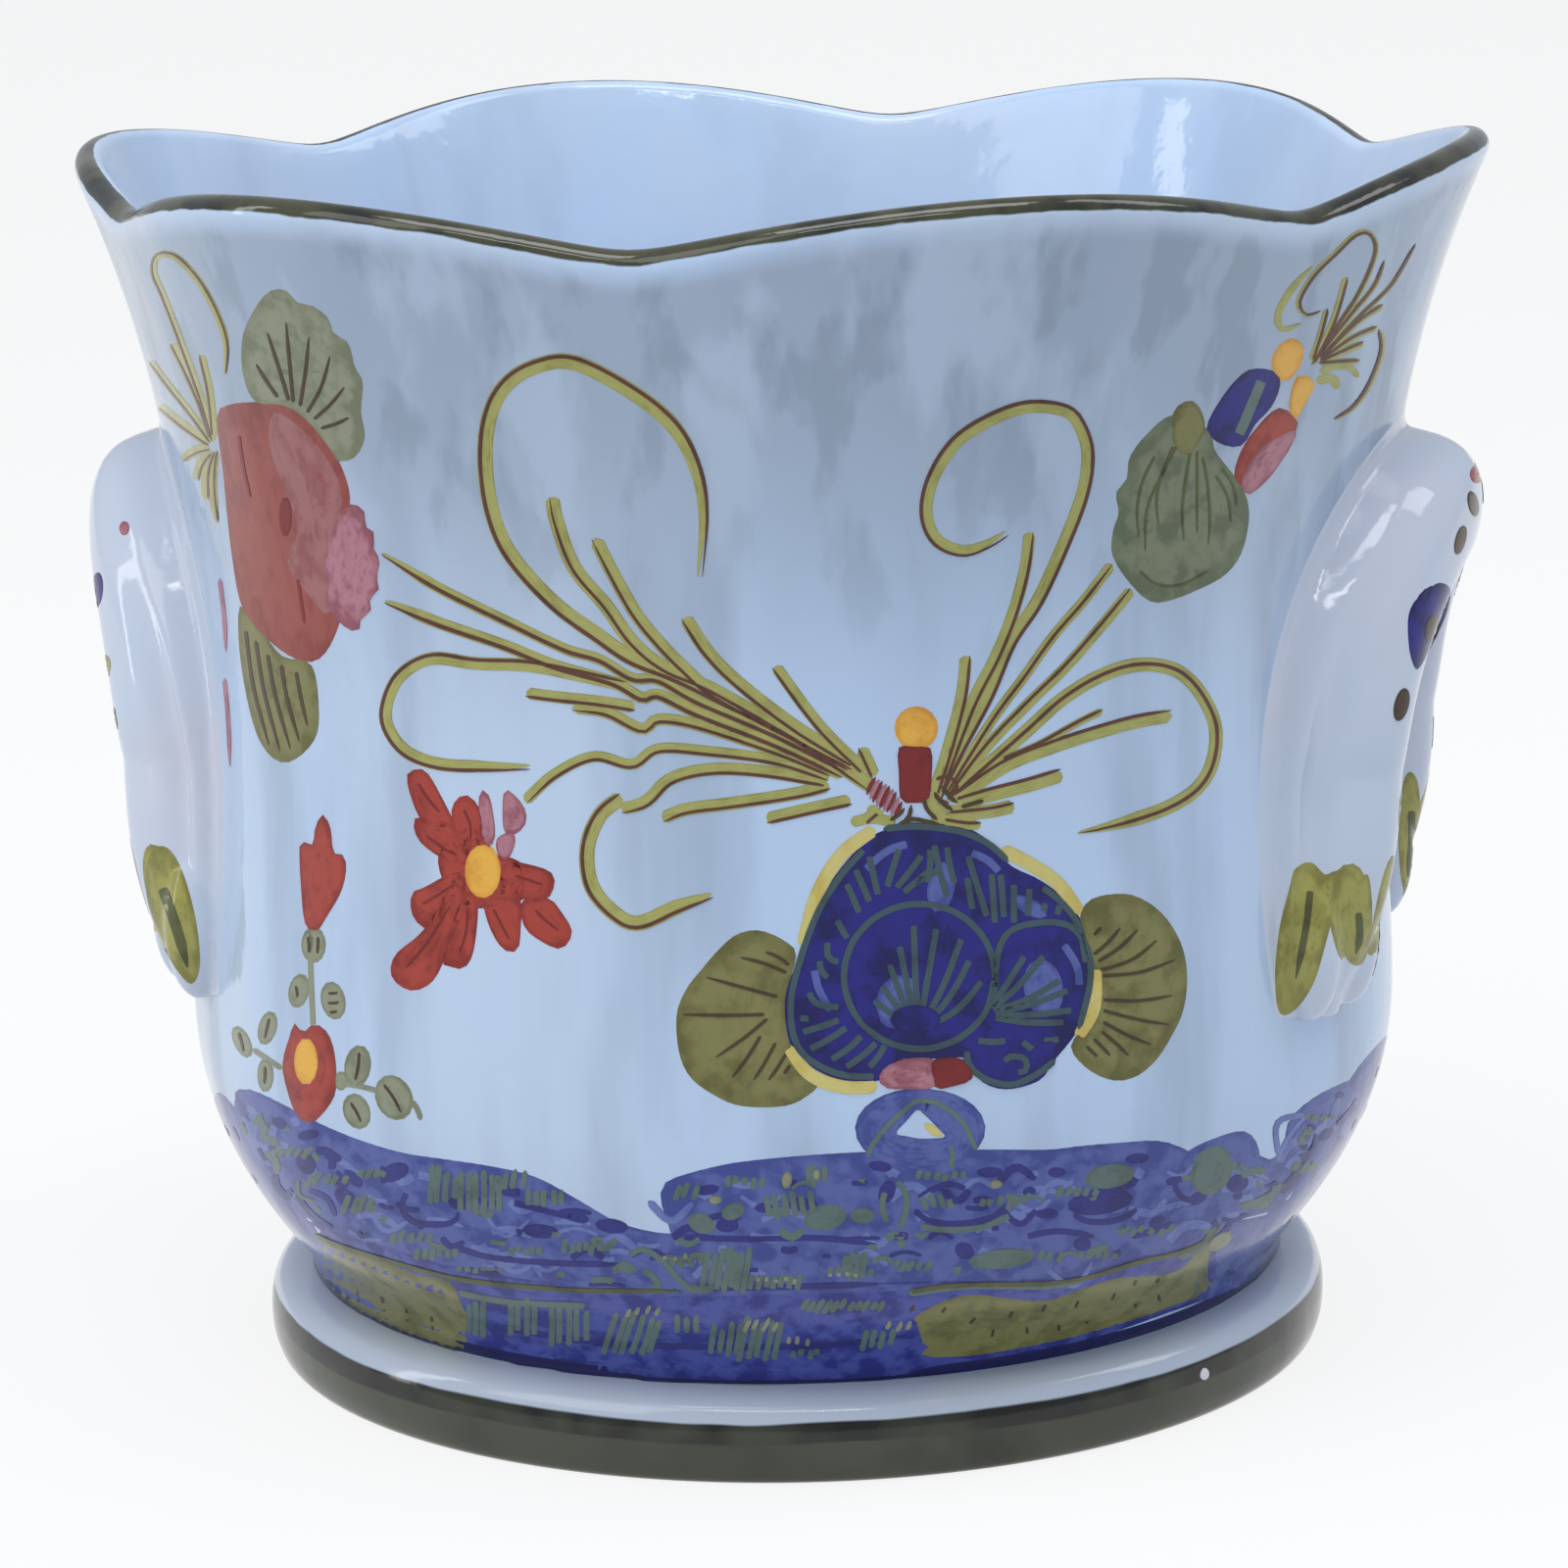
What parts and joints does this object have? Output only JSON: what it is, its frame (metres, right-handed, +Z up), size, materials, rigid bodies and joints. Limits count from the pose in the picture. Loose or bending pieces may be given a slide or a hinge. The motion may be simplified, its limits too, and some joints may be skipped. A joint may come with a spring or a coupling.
{
  "type": "cachepot",
  "caption": "Glazed earthenware cachepot with a flared body, a scalloped lobed rim, a ring foot and an arched strap handle on each side, to stand a potted plant in.",
  "frame": {"origin": "middle of the foot's resting face", "axes": "+Z up; +X towards the right-hand handle, in the picture's sense; -Y towards the painted front, at a valley of the rim"},
  "size_m": [0.2564, 0.2416, 0.222],
  "materials": {
    "glazed_earthenware": null,
    "glazed_foot": null,
    "glazed_handle": null
  },
  "bodies": {
    "root": {"bowl": "glazed_earthenware", "foot_ring": "glazed_foot", "handle_left": "glazed_handle", "handle_right": "glazed_handle"}
  },
  "joints": []
}
